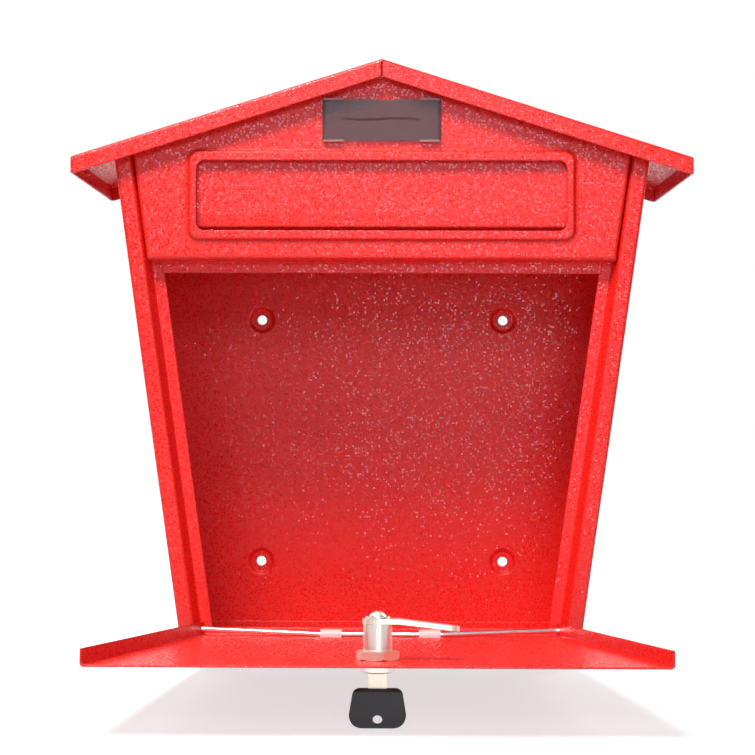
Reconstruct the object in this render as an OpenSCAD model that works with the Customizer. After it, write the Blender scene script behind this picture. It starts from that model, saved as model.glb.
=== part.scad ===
// Sheet steel letter box for a wall. A tapered case stands under a gabled roof. A flap hangs
// behind the posting slot, and an access door drops down on a spring wire and locks with a cam.
// Millimetres. The origin is the centre of the four wall screw holes, on the wall plane.
// +X is to the right, +Y goes into the wall and +Z is up. The door is drawn standing open.

/* [Case] */
// Depth from the wall to the front face
case_d = 132; // [115:1:160]
// Width across the base
base_w = 235.6; // [215:0.2:280]
// Lean of each side from upright, in degrees
lean = 8; // [5:0.5:10]
// Thickness of the sheet steel
sheet_t = 1; // [0.7:0.1:1.3]
// Outside radius of the folds
fold_r = 2; // [1.7:0.1:2.6]
// Width of the rim round the front
rim_w = 9.8; // [8:0.2:12]
// Depth of the rebate that the door closes into
rebate_d = 11.5; // [10.6:0.1:14]
// How far the rim's return wall leans inward over its depth
rim_slant = 2.6; // [0:0.1:4]
// Width of the jamb that the door and the stop bar face
jamb_w = 6.9; // [5:0.1:16]
// Height of the front rail below the door
rail_h = 14; // [8:0.5:20]
// Height of the sill flange above the rail
sill_rise = 7.8; // [5:0.2:8]
// Width of the hidden flanges that are spot welded
weld_w = 10; // [6:1:14]

/* [Wall screws] */
// Distance between the screw holes from side to side
screw_span_x = 163; // [120:1:180]
// Distance between the screw holes up the back
screw_span_z = 163; // [120:1:190]
// Height of the middle of the screw holes above the base
screw_mid_h = 131.5; // [115:0.5:140]
// Radius of a screw hole
screw_hole_r = 3.15; // [2.2:0.05:4]
// Radius of the dish pressed round a screw hole
dish_r = 10; // [7:0.1:14]
// Depth of the dish, which stands the back off the wall
dish_d = 2; // [1:0.1:3]

/* [Roof] */
// Width across the eaves
roof_w = 370; // [350:1:400]
// Pitch of each slope, in degrees
roof_pitch = 17.5; // [14:0.5:22]
// Height of the eaves above the bottom edge of the front panel
eave_rise = 61.2; // [56:0.2:75]
// Overhang in front of the case
roof_overhang = 8.5; // [5:0.5:20]
// Depth of the folded edge at the front and back, square to the slope
fascia_d = 10.3; // [7:0.1:14]
// Depth of the folded edge at the eaves
eave_d = 10; // [7:0.1:13]
// Width of the open seam in the folded edge at the ridge
ridge_seam = 1.2; // [0.6:0.1:2]

/* [Front panel] */
// Gap between the panel and the rim at each side
panel_gap = 1.6; // [1:0.1:2.4]
// Gap between the panel and the top of the door
panel_door_gap = 1.3; // [0.8:0.1:3]
// Outside radius of the rounded lower lip
lip_r = 3; // [2:0.1:4]
// Height of the stop bar that hangs behind the door
stop_h = 7; // [5:0.2:10]
// How far the stop bar reaches over each jamb flange
stop_lap = 1.2; // [0.8:0.1:4]
// Width of the posting slot
slot_w = 222; // [180:1:232]
// Height of the posting slot
slot_h = 42; // [32:1:44]
// Corner radius of the posting slot
slot_r = 5; // [2:0.5:8]
// Height of the slot above the bottom edge of the panel
slot_rise = 17.8; // [15:0.2:22]
// Width of the raised surround beside the slot
surround_side = 5.5; // [4:0.1:7]
// Height of the raised surround above and below the slot
surround_top = 6.6; // [4:0.1:7]
// How far the surround stands out of the panel
surround_d = 1.6; // [1:0.1:2.4]
// Width of the sloping wall of the surround
surround_slope = 1.6; // [0.8:0.1:2]

/* [Flap] */
// How far the flap's front hangs behind the panel's sheet
flap_set = 2.3; // [1:0.1:3]
// How far the flap laps behind the panel at the ends and the bottom
flap_lap = 3; // [2:0.2:5]
// Radius of the flap pin
flap_pin_r = 1.25; // [1:0.05:1.8]
// Length of each rolled knuckle
knuckle_l = 22; // [10:1:40]
// Height of the bent finger lip of the flap, above the bottom of the slot
finger_h = 9.5; // [6:0.5:14]
// How far the finger lip leans inward
finger_in = 3.6; // [2:0.1:5]
// Depth of the stiffening return at the bottom of the flap
flap_return = 4.5; // [3:0.5:8]

/* [Name plate] */
// Width of the name plate
plate_w = 71.4; // [60:0.2:90]
// Height of the name plate
plate_h = 26; // [20:0.5:28]
// Height of the name plate above the slot
plate_rise = 11; // [10:0.5:13]
// Thickness of the holder's back
plate_back_t = 0.8; // [0.6:0.1:1.2]
// Thickness of the clear window
window_t = 1.2; // [0.8:0.1:1.6]
// Length of each corner lip that holds the window
corner_lip_l = 12; // [8:0.5:20]

/* [Door] */
// Height of the door
door_h = 225; // [200:1:240]
// Gap between the door and the rim at each side
door_gap = 2.9; // [2:0.1:4]
// Depth of the door's folded edges
door_edge = 8.6; // [7:0.1:9.2]
// Depth of the fold along the foot of the door
door_foot = 5; // [4:0.1:6]
// How far the door stands open, in degrees
door_open = 85.4; // [0:1:110]
// Height of the hinge axis above the rail
hinge_rise = 7.5; // [7:0.1:9]
// Distance of the hinge axis behind the front face
hinge_set = 4.5; // [4:0.1:5]
// Length of the door below the hinge axis
door_tail = 5; // [4:0.1:5.2]

/* [Hinge wire] */
// Radius of the spring wire
wire_r = 1.5; // [1:0.1:1.7]
// How far the middle of the wire bows up the door
wire_bow = 12; // [8:0.5:20]
// Length of each wire end beyond the door's edge
wire_end = 6; // [5:0.2:7]
// Length of each clip along the wire
clip_l = 12.6; // [8:0.2:18]
// Width of a clip's foot
clip_foot_w = 10; // [8:0.5:14]
// Place of the left clip from the middle of the door
clip_left_x = -29; // [-60:1:-15]
// Place of the right clip from the middle of the door
clip_right_x = 29.3; // [20:0.1:45]

/* [Lock] */
// Distance of the lock's axis below the top of the door
lock_drop = 36; // [30:1:40]
// Radius of the lock's threaded barrel
barrel_r = 8; // [7:0.25:9]
// Width across the barrel's two flats
barrel_flats = 14; // [12.4:0.2:15]
// Length of the barrel behind the door's outer face
barrel_l = 18.5; // [17:0.5:20]
// Radius of the lock's head
head_r = 9.6; // [9:0.1:12]
// How far the head stands out from the door
head_d = 5; // [3.6:0.2:6]
// Radius of the turning plug
plug_r = 5.45; // [5:0.05:6]
// Width across the flats of the nut
nut_af = 19; // [18:0.5:22]
// Thickness of the nut
nut_t = 4.8; // [3:0.2:6]
// Angle that the nut happens to be tightened to
nut_turn = -15; // [-30:1:30]
// Length of the cam from the lock's axis to its tip
cam_l = 40; // [32:1:44]
// Width of the cam
cam_w = 15; // [13:0.5:17]
// Thickness of the cam
cam_t = 2.5; // [1.5:0.1:3]
// How far the tip of the cam is cranked toward the door
cam_crank = 3.6; // [1:0.1:4.5]
// Width of the square end that carries the cam
tang_w = 7; // [6:0.1:7.6]
// Number of wafers in the plug
wafer_n = 5; // [3:1:6]

/* [Key] */
// Width of the key's blade in the keyway
blade_w = 6.4; // [5:0.1:7]
// Thickness of the key's blade
blade_t = 2; // [1.4:0.1:2.2]
// Length of the blade in the plug
blade_l = 18; // [16:0.5:19]
// Width of the neck between the lock and the key's head
neck_w = 9; // [7.5:0.5:12]
// Length of the neck
neck_l = 7.5; // [5:0.1:12]
// Width of the key's head
key_head_w = 27.8; // [20:0.2:32]
// Length of the key's head
key_head_l = 18.95; // [14:0.05:24]
// Thickness of the key's head
key_head_t = 8; // [5:0.5:9]

/* [Hidden] */
$fn = 48;

// Named clearances: running pins, sliding fits, sheets that only lie against each other
pin_fit = 0.06;
slide_fit = 0.15;
lay_gap = 0.1;
free_gap = 0.3;
// Longer than any piece, for cuts and for stock that is trimmed
far = 600;
bend_steps = 6;
coat = "#e8302a";
zinc = "#d8d4cc";
steel = "#c9ccd0";
clear = [0.8, 0.8, 0.8, 0.4];

front_y = -case_d;
back_y = -dish_d;
front_mid = front_y + sheet_t / 2;
back_mid = back_y - sheet_t / 2;
jamb_y = front_y + rebate_d;
jamb_mid = jamb_y + sheet_t / 2;
stop_mid = jamb_y - sheet_t / 2;

jamb_edge = rim_w + rim_slant + jamb_w;
hinge_y = front_y + hinge_set;
hinge_z = rail_h + hinge_rise;
door_z0 = hinge_z - door_tail;
door_z1 = door_z0 + door_h;
panel_z = door_z1 + panel_door_gap;
eave_z = panel_z + eave_rise;
slot_z = panel_z + slot_rise;
plate_z = slot_z + slot_h + plate_rise;
ridge_z = eave_z + roof_w / 2 * tan(roof_pitch);
lock_z = door_z1 - lock_drop;

// The panel's surround stands out, and the flap hangs behind the panel
band_y = front_y - surround_d;
flap_front = front_y + sheet_t + flap_set;
flap_mid = flap_front + sheet_t / 2;
knuckle_r = flap_pin_r + pin_fit + 0.8;
flap_pin_y = front_y + sheet_t + free_gap + knuckle_r;
flap_pin_z = slot_z + slot_h + surround_top + sheet_t + free_gap + knuckle_r;
flap_half = slot_w / 2 + flap_lap;

// Rest of the wire and the clips: the wire's middle lies on the door's inner face
wire_rest_y = front_y + sheet_t + lay_gap + wire_r;
wire_mid_z = hinge_z + wire_bow;
clip_r = wire_r + 1.4;

plug_head_r = plug_r + 1;
plug_head_d = 1.2;
cam_w0 = barrel_l + lay_gap;
washer_w0 = cam_w0 + cam_t + lay_gap;
washer_t = 1;
tang_l = cam_t - 0.2;
screw_r = 2;
wafer_t = 0.8;
wafer_w = 5;
wafer_pitch = 2.4;
keyway_w = blade_w + 2 * slide_fit;
keyway_t = blade_t + 2 * slide_fit;

// Half the case's width at a height, less an inset square to the leaning side
function side_x(z, inset = 0) = base_w / 2 + z * tan(lean) - inset / cos(lean);

// Height of the roof's underside at a distance from the middle
function under_roof(x) = ridge_z - abs(x) * tan(roof_pitch) - sheet_t / cos(roof_pitch);

function unit(v) = v / norm(v);
function left(v) = [-v[1], v[0]];
function turned(v, a) = [v[0] * cos(a) - v[1] * sin(a), v[0] * sin(a) + v[1] * cos(a)];

// Points and normals round one fold of a sheet's middle line
function bend(a, b, c, r) =
    let(u = unit(b - a),
        v = unit(c - b),
        turn = atan2(u[0] * v[1] - u[1] * v[0], u * v),
        side = sign(turn),
        centre = b - u * r * tan(abs(turn) / 2) + side * r * left(u))
    [for (k = [0 : bend_steps])
        let(n = turned(left(u), turn * k / bend_steps))
        [centre - side * r * n, n]];

// Points and normals along the whole middle line, with each corner rounded
function folded(p, r) = concat(
    [[p[0], left(unit(p[1] - p[0]))]],
    [for (i = [1 : len(p) - 2]) each bend(p[i - 1], p[i], p[i + 1], r)],
    [[p[len(p) - 1], left(unit(p[len(p) - 1] - p[len(p) - 2]))]]);

// Points along an arc
function arc(centre, r, a0, a1, steps = 16) = [
    for (k = [0 : steps]) let(a = a0 + (a1 - a0) * k / steps) centre + r * [cos(a), sin(a)]];

// Section of a folded sheet, given by the corners of its middle line
module sheet(p, r = fold_r - sheet_t / 2) {
    f = folded(p, r);
    polygon(concat(
        [for (e = f) e[0] + e[1] * sheet_t / 2],
        [for (i = [len(f) - 1 : -1 : 0]) f[i][0] - f[i][1] * sheet_t / 2]));
}

module both_sides() {
    children();
    mirror([1, 0, 0]) children();
}

// Extrudes a plan section up the leaning right side. Its x runs outward from the side's face.
module along_side() {
    translate([base_w / 2, 0, 0]) rotate([0, lean, 0])
        translate([0, 0, -far / 4]) linear_extrude(far) children();
}

// Extrudes a section that is drawn as (y, z) along X, about the middle
module along_x(length) {
    rotate([90, 0, 90]) linear_extrude(length, center = true) children();
}

// Extrudes an elevation that is drawn as (x, z) from one y to another
module along_y(y0, y1) {
    translate([0, y1, 0]) rotate([90, 0, 0]) linear_extrude(y1 - y0) children();
}

// Everything between the two sides, less an inset from each
module between_sides(inset, z0, z1, y0, y1) {
    along_y(y0, y1) polygon([
        [-side_x(z0, inset), z0], [side_x(z0, inset), z0],
        [side_x(z1, inset), z1], [-side_x(z1, inset), z1]]);
}

// Solid between the two leaning sides, with its front edges rounded
module pan(inset, y0, y1, r) {
    outline = concat([[-far, y1], [-far, y0]],
        arc([-inset - r, y0 + r], r, -90, 0, bend_steps), [[-inset, y1]]);
    intersection() {
        along_side() polygon(outline);
        mirror([1, 0, 0]) along_side() polygon(outline);
    }
}

// Solid above a height and behind a plane, with the edge between them rounded
module toe(y0, z0, r, top = far) {
    along_x(far) polygon(concat(
        [[y0, top]], arc([y0 + r, z0 + r], r, 180, 270, bend_steps), [[far, z0], [far, top]]));
}

// Everything above a height and below the roof
module below_roof(z0) {
    w = roof_w / 2;
    gap = lay_gap;
    along_y(-far, far) polygon([
        [-w, z0], [w, z0], [w, under_roof(w) - gap],
        [0, under_roof(0) - gap], [-w, under_roof(w) - gap]]);
}

// Outline with round corners, about its middle
module round_rect(w, h, r) {
    for (x = [-1, 1], z = [-1, 1]) translate([x * (w / 2 - r), z * (h / 2 - r)]) circle(r);
    square([w - 2 * r, h], center = true);
    square([w, h - 2 * r], center = true);
}

// Places children from the heights above the base into the frame of the wall screws
module on_wall() {
    translate([0, 0, -screw_mid_h]) children();
}

// Swings children with the door about the hinge axis, from closed to the angle it stands at
module on_door() {
    on_wall() translate([0, hinge_y, hinge_z]) rotate([door_open, 0, 0])
        translate([0, -hinge_y, -hinge_z]) children();
}

// Places children on the lock's axis. Their z runs inward from the door's outer face.
module on_lock() {
    on_door() translate([0, front_y, lock_z]) rotate([-90, 0, 0]) children();
}

// Hinge pin holes through the rim and the door's edges
module hinge_holes(r) {
    translate([0, hinge_y, hinge_z]) rotate([0, 90, 0])
        cylinder(r = r, h = 2 * side_x(hinge_z, sheet_t + 1), center = true);
}

// Pressed dish round one screw hole, as a turned section
module screw_dish() {
    rotate([90, 0, 0]) rotate_extrude() sheet([
        [dish_r + 2, -back_mid], [dish_r - 1, -back_mid],
        [dish_r - 1 - dish_d, sheet_t / 2], [screw_hole_r, sheet_t / 2]], r = 1);
}

module at_screws() {
    for (x = [-1, 1], z = [-1, 1])
        translate([x * screw_span_x / 2, 0, screw_mid_h + z * screw_span_z / 2]) children();
}

// One sheet folded round the back and both sides, with a joggled rim down each front edge
module case_shell() {
    return_mid = -(rim_w - sheet_t / 2);
    rim_path = [
        [-weld_w * 2, back_mid], [-sheet_t / 2, back_mid], [-sheet_t / 2, front_mid],
        [return_mid, front_mid], [return_mid - rim_slant, jamb_mid], [-jamb_edge, jamb_mid]];
    color(coat) on_wall() {
        difference() {
            intersection() {
                union() {
                    both_sides() along_side() sheet(rim_path);
                    between_sides(weld_w, -far / 8, far, back_y - sheet_t, back_y);
                }
                below_roof(0);
            }
            at_screws() rotate([90, 0, 0]) cylinder(r = dish_r + 1, h = far, center = true);
            hinge_holes(wire_r + pin_fit);
        }
        at_screws() screw_dish();
    }
}

// Floor with its joggled front rail and sill, and flanges welded to the back and sides
module floor_panel() {
    rear = back_y - sheet_t - lay_gap;
    path = [
        [rear - sheet_t / 2, weld_w], [rear - sheet_t / 2, sheet_t / 2],
        [front_mid, sheet_t / 2], [front_mid, rail_h - sheet_t / 2],
        [jamb_mid, rail_h - sheet_t / 2], [jamb_mid, rail_h + sill_rise]];
    top = rail_h + sill_rise + weld_w;
    wall = sheet_t + lay_gap;
    color(coat) on_wall() {
        intersection() {
            along_x(far) sheet(path);
            union() {
                between_sides(rim_w + free_gap, -1, top, front_y, front_y + sheet_t + lay_gap);
                between_sides(rim_w + rim_slant + lay_gap, -1, top, front_y, jamb_y - lay_gap);
                between_sides(jamb_edge + lay_gap, -1, top, jamb_y - lay_gap,
                    jamb_y + sheet_t + lay_gap);
                between_sides(wall, -1, top, jamb_y + sheet_t + lay_gap, 0);
            }
        }
        both_sides() intersection() {
            along_side() translate([-wall - sheet_t, jamb_y + fold_r + sheet_t])
                square([sheet_t, rear - fold_r - sheet_t - jamb_y - fold_r - sheet_t]);
            translate([0, -far, 0]) cube([far, far, weld_w]);
        }
    }
}

// One slope of the roof, folded down along the front, back and eaves
module roof_slope() {
    roof_front = front_y - roof_overhang;
    w = roof_w / 2;
    seat = sheet_t * 0.8;
    intersection() {
        translate([0, 0, ridge_z]) rotate([0, roof_pitch, 0])
            rotate([90, 0, 90]) translate([0, 0, -weld_w]) linear_extrude(far / 2)
            sheet([[roof_front + sheet_t / 2, -fascia_d], [roof_front + sheet_t / 2, -sheet_t / 2],
                [-sheet_t / 2, -sheet_t / 2], [-sheet_t / 2, -fascia_d]]);
        translate([0, -far, eave_z - eave_d]) cube([w, 2 * far, far]);
    }
    translate([w - sheet_t, roof_front + seat, eave_z - eave_d])
        cube([sheet_t, -roof_front - 2 * seat, eave_d - sheet_t / 2]);
}

// Gabled roof from one sheet, with open seams at the ridge where its edges fold down
module roof() {
    seam_top = ridge_z - 2 * sheet_t;
    color(coat) on_wall() difference() {
        both_sides() roof_slope();
        along_y(-far, far) polygon([
            [-ridge_seam / 4, seam_top], [ridge_seam / 4, seam_top],
            [ridge_seam / 2, seam_top - fascia_d], [ridge_seam / 2, seam_top - 2 * fascia_d],
            [-ridge_seam / 2, seam_top - 2 * fascia_d], [-ridge_seam / 2, seam_top - fascia_d]]);
    }
}

// The raised surround, with a margin that tells its back from its front
module surround_form(margin, y0, y1) {
    outer = [slot_w + 2 * surround_side, slot_h + 2 * surround_top];
    drawn = 2 * surround_slope;
    corner = slot_r + 1;
    translate([0, 0, slot_z + slot_h / 2]) hull() {
        along_y(y0 - 0.02, y0) round_rect(outer[0] + margin, outer[1] + margin, corner, $fn = 32);
        along_y(y1, y1 + 0.02)
            round_rect(outer[0] - drawn + margin, outer[1] - drawn + margin, corner, $fn = 32);
    }
}

// Lugs behind the panel that carry the flap's pin
module flap_lug() {
    reach = knuckle_r * 2;
    root_y = front_y + sheet_t / 2;
    translate([flap_half + free_gap, root_y, flap_pin_z - reach])
        cube([sheet_t * 1.5, flap_pin_y + reach - root_y, 2 * reach]);
}

// Front panel with its raised slot surround, flanges to the jambs, rounded lip and stop bar
module front_panel() {
    edge = rim_w + panel_gap;
    flange_y = front_y + rebate_d / 2;
    stop_inset = jamb_edge - stop_lap;
    color(coat) on_wall() difference() {
        union() {
            difference() {
                intersection() {
                    pan(edge, front_y, jamb_y, fold_r);
                    toe(front_y, panel_z, lip_r);
                    below_roof(0);
                }
                intersection() {
                    pan(edge + sheet_t, front_y + sheet_t, far, fold_r - sheet_t);
                    toe(front_y + sheet_t, panel_z + sheet_t, lip_r - sheet_t);
                }
                both_sides() along_side() translate([-rim_w - rim_slant - panel_gap / 2, flange_y])
                    square([far, far]);
                translate([0, 0, slot_z + slot_h / 2]) along_y(front_y - 1, front_y + sheet_t + 1)
                    round_rect(slot_w + 2 * surround_side - sheet_t,
                        slot_h + 2 * surround_top - sheet_t, slot_r + 1);
            }
            between_sides(stop_inset, panel_z - stop_h, panel_z + sheet_t * 0.8,
                jamb_y - sheet_t, jamb_y - lay_gap);
            difference() {
                surround_form(0, front_y + sheet_t / 2, band_y);
                surround_form(-sheet_t, front_y + 1.5 * sheet_t, band_y + sheet_t);
            }
            both_sides() flap_lug();
        }
        translate([0, 0, slot_z + slot_h / 2])
            along_y(band_y - 1, front_y + 2 * sheet_t) round_rect(slot_w, slot_h, slot_r);
        translate([0, flap_pin_y, flap_pin_z]) rotate([0, 90, 0])
            cylinder(r = flap_pin_r + pin_fit, h = 2 * (flap_half + weld_w), center = true);
    }
}

// Flap folded from one strip: face, finger lip and stiffening return, on two rolled knuckles
module slot_flap() {
    foot_z = slot_z - flap_lap;
    foot_y = flap_mid + finger_in;
    top_z = slot_z + slot_h + surround_top - free_gap;
    color(coat) on_wall() difference() {
        union() {
            along_x(2 * flap_half) sheet([
                [flap_mid, top_z], [flap_mid, slot_z + finger_h],
                [foot_y, foot_z], [foot_y + flap_return, foot_z]]);
            both_sides() translate([flap_half - knuckle_l, 0, 0]) {
                translate([0, flap_pin_y, flap_pin_z]) rotate([0, 90, 0])
                    cylinder(r = knuckle_r, h = knuckle_l);
                translate([0, flap_front, top_z - 1])
                    cube([knuckle_l, sheet_t, flap_pin_z - top_z + 1]);
            }
        }
        translate([0, flap_pin_y, flap_pin_z]) rotate([0, 90, 0])
            cylinder(r = flap_pin_r + pin_fit, h = far, center = true);
    }
}

// Rod through both lugs and the knuckles, peened at each end
module flap_pin() {
    lug_out = flap_half + free_gap + sheet_t * 1.5 + lay_gap;
    peen_t = 0.8;
    color(zinc) on_wall() translate([0, flap_pin_y, flap_pin_z]) rotate([0, 90, 0]) {
        cylinder(r = flap_pin_r, h = 2 * lug_out + 0.02, center = true);
        for (s = [-1, 1]) translate([0, 0, s * (lug_out + peen_t / 2)])
            cylinder(r = flap_pin_r + 0.7, h = peen_t, center = true);
    }
}

// Clear plastic back of the name plate, with a lip round each corner
module name_plate_holder() {
    mid_z = plate_z + plate_h / 2;
    back = front_y - plate_back_t;
    lip_front = back - window_t - 2 * lay_gap;
    lip_t = 0.8;
    color(clear) on_wall() {
        along_y(back, front_y) translate([0, mid_z]) square([plate_w, plate_h], center = true);
        for (x = [-1, 1], z = [-1, 1]) translate([x * plate_w / 2, 0, mid_z + z * plate_h / 2])
            mirror([x > 0 ? 1 : 0, 0, 0]) mirror([0, 0, z > 0 ? 1 : 0]) {
                translate([0, lip_front - lip_t, 0])
                    cube([corner_lip_l, front_y - lip_front + lip_t, lip_t]);
                translate([0, lip_front - lip_t, 0]) cube([corner_lip_l, lip_t, 2 * lip_t]);
            }
    }
}

// Clear window that slides behind the corner lips, bevelled round its front
module name_plate_window() {
    mid_z = plate_z + plate_h / 2;
    rear = front_y - plate_back_t - lay_gap;
    lip_t = 0.8;
    h = plate_h - 2 * (lip_t + lay_gap);
    bevel = window_t / 2;
    color(clear) on_wall() intersection() {
        along_x(plate_w) polygon([
            [rear, mid_z - h / 2], [rear, mid_z + h / 2], [rear - bevel, mid_z + h / 2],
            [rear - window_t, mid_z + h / 2 - bevel], [rear - window_t, mid_z - h / 2 + bevel],
            [rear - bevel, mid_z - h / 2]]);
        translate([0, 0, mid_z]) rotate([0, 0, 180]) linear_extrude(plate_h, center = true)
            polygon([
                [plate_w / 2, -rear], [plate_w / 2, bevel - rear],
                [plate_w / 2 - bevel, window_t - rear], [bevel - plate_w / 2, window_t - rear],
                [-plate_w / 2, bevel - rear], [-plate_w / 2, -rear]]);
    }
}

// Door pan: one sheet with both side edges and the foot folded in, and a plain top edge
module door() {
    inset = rim_w + door_gap;
    color(coat) on_door() difference() {
        intersection() {
            pan(inset, front_y, front_y + door_edge, fold_r);
            toe(front_y, door_z0, fold_r, door_z1);
        }
        intersection() {
            pan(inset + sheet_t, front_y + sheet_t, far, fold_r - sheet_t);
            toe(front_y + sheet_t, door_z0 + sheet_t, fold_r - sheet_t);
        }
        between_sides(inset + sheet_t, door_z0 - 1, door_z0 + 2 * fold_r, front_y + door_foot, 0);
        hinge_holes(wire_r + pin_fit);
        translate([0, front_y, lock_z]) rotate([-90, 0, 0])
            linear_extrude(far, center = true) barrel_outline(slide_fit);
    }
}

// A straight run of wire along +Z, which carries what follows it
module wire_run(length) {
    cylinder(r = wire_r, h = length);
    translate([0, 0, length]) children();
}

// A slight bend in the wire from +Z toward +X, rounded by a ball a hair wider than the wire
module wire_bend(angle) {
    sphere(wire_r + 0.02);
    rotate([0, angle, 0]) children();
}

// Spring wire whose straight ends are the hinge pins, and whose bowed middle is clipped down
module hinge_wire() {
    edge_x = side_x(hinge_z, rim_w + door_gap);
    leg_x = edge_x - 3;
    mid_l = clip_left_x - clip_l / 2 - wire_r;
    mid_r = clip_right_x + clip_l / 2 + wire_r;
    bow = [wire_rest_y - hinge_y, wire_bow];
    turn_l = atan2(norm(bow), mid_l + leg_x);
    turn_r = atan2(norm(bow), leg_x - mid_r);
    end_run = wire_end + edge_x - leg_x;
    color(zinc) on_door() translate([-edge_x - wire_end, hinge_y, hinge_z])
        rotate([atan2(bow[0], -bow[1]), 0, 0]) rotate([0, 90, 0])
        wire_run(end_run) wire_bend(turn_l)
        wire_run(norm([mid_l + leg_x, norm(bow)])) wire_bend(-turn_l)
        wire_run(mid_r - mid_l) wire_bend(-turn_r)
        wire_run(norm([leg_x - mid_r, norm(bow)])) wire_bend(turn_r)
        cylinder(r = wire_r, h = end_run);
}

// Clear nylon clip: an arch over the wire with a foot that is stuck to the door
module wire_clip(x) {
    face_y = front_y + sheet_t;
    foot_t = 1;
    color([0.95, 0.85, 0.85, 0.6]) on_door() translate([x, 0, 0])
        along_x(clip_l) difference() {
            union() {
                translate([wire_rest_y, wire_mid_z]) circle(clip_r);
                translate([face_y, wire_mid_z - clip_r])
                    square([wire_rest_y - face_y, 2 * clip_r]);
                translate([face_y, wire_mid_z - clip_foot_w / 2]) square([foot_t, clip_foot_w]);
            }
            translate([wire_rest_y, wire_mid_z]) circle(wire_r + pin_fit);
            translate([face_y - far, wire_mid_z - far / 2]) square([far, far]);
            translate([face_y, wire_mid_z - wire_r - pin_fit])
                square([wire_rest_y - face_y, 2 * (wire_r + pin_fit)]);
        }
}

module wire_clip_left() {
    wire_clip(clip_left_x);
}

module wire_clip_right() {
    wire_clip(clip_right_x);
}

// Barrel section: round with two flats that stop the lock from turning in the door
module barrel_outline(gap = 0) {
    intersection() {
        circle(barrel_r + gap);
        square([barrel_flats + 2 * gap, far], center = true);
    }
}

// Lock body: domed head outside the door, flatted barrel through it, bored for the plug
module lock_housing() {
    rim = 1.2;
    face_r = plug_head_r + 0.9;
    color(steel) on_lock() difference() {
        union() {
            rotate_extrude() polygon([
                [0, 0], [head_r, 0], [head_r, -rim], [head_r - 0.7, -rim - 0.7],
                [face_r + 0.8, -head_d + 0.5], [face_r, -head_d], [0, -head_d]]);
            translate([0, 0, -0.5]) linear_extrude(barrel_l + 0.5) barrel_outline();
        }
        translate([0, 0, -far / 2]) cylinder(r = plug_r + pin_fit, h = far);
        translate([0, 0, -head_d - 1])
            cylinder(r = plug_head_r + pin_fit, h = 1 + plug_head_d + lay_gap);
    }
}

// Hexagon nut that clamps the lock to the door from inside
module lock_nut() {
    corner_r = nut_af / 2 / cos(30);
    color(zinc) on_lock() translate([0, 0, sheet_t + lay_gap]) rotate([0, 0, nut_turn]) difference() {
        intersection() {
            cylinder(r = corner_r, h = nut_t, $fn = 6);
            rotate_extrude() polygon([
                [0, 0], [nut_af / 2, 0], [corner_r, 0.8], [corner_r, nut_t - 0.8],
                [nut_af / 2, nut_t], [0, nut_t]]);
        }
        translate([0, 0, -1]) cylinder(r = barrel_r + pin_fit, h = nut_t + 2);
    }
}

// Place of each wafer's slot along the plug
function wafer_at(i) = 1.4 + i * wafer_pitch;

// Turning plug with its keyway, wafer slots and the square end for the cam
module lock_plug() {
    front = -head_d + lay_gap;
    color(steel) on_lock() difference() {
        union() {
            translate([0, 0, front]) cylinder(r = plug_r, h = barrel_l - front);
            translate([0, 0, front]) cylinder(r = plug_head_r, h = plug_head_d - lay_gap);
            translate([0, 0, barrel_l - 0.5]) intersection() {
                cylinder(r = plug_r - 0.8, h = 0.5 + tang_l);
                translate([-tang_w / 2, -tang_w / 2, 0]) cube([tang_w, tang_w, 0.5 + tang_l]);
            }
        }
        translate([-keyway_w / 2, -keyway_t / 2, front - 1])
            cube([keyway_w, keyway_t, 1 + head_d - lay_gap + blade_l - head_d + 1.4 + lay_gap]);
        for (i = [0 : wafer_n - 1]) translate([0, 0, wafer_at(i)])
            linear_extrude(wafer_t + 2 * lay_gap) square([far, wafer_w], center = true);
        translate([0, 0, barrel_l + tang_l - 5]) cylinder(r = screw_r + pin_fit, h = far);
    }
}

// Flat wafers round the blade, which the key draws clear of the housing
module lock_wafers() {
    tall = 2 * sqrt(pow(plug_r, 2) - pow(wafer_w / 2, 2)) - 0.4;
    color("#b8963e") on_lock() for (i = [0 : wafer_n - 1]) translate([0, 0, wafer_at(i) + lay_gap])
        linear_extrude(wafer_t) difference() {
            square([tall, wafer_w - 2 * slide_fit], center = true);
            square([keyway_w, keyway_t], center = true);
        }
}

// Cam plate, cranked toward the door, that hooks behind the stop bar
module lock_cam() {
    mid = cam_w0 + cam_t / 2;
    half = cam_t / 2;
    knee = cam_w / 2 + 3;
    tip_r = cam_w / 2 - 2.5;
    side_a = 80;
    color(zinc) on_lock() difference() {
        intersection() {
            rotate([90, 0, 0]) linear_extrude(far, center = true) polygon([
                [-cam_w, mid - half], [knee, mid - half], [cam_l, mid - half - cam_crank],
                [cam_l, mid + half - cam_crank], [knee, mid + half], [-cam_w, mid + half]]);
            linear_extrude(far) polygon(concat(
                arc([0, 0], cam_w / 2, side_a, 360 - side_a),
                arc([cam_l - tip_r, 0], tip_r, -side_a, side_a)));
        }
        intersection() {
            cylinder(r = plug_r - 0.8 + slide_fit, h = far);
            translate([-tang_w / 2 - slide_fit, -tang_w / 2 - slide_fit, 0])
                cube([tang_w + 2 * slide_fit, tang_w + 2 * slide_fit, far]);
        }
    }
}

module cam_washer() {
    color(zinc) on_lock() translate([0, 0, washer_w0]) difference() {
        cylinder(r = cam_w / 2 - 1.4, h = washer_t);
        translate([0, 0, -1]) cylinder(r = screw_r + pin_fit, h = washer_t + 2);
    }
}

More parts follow.
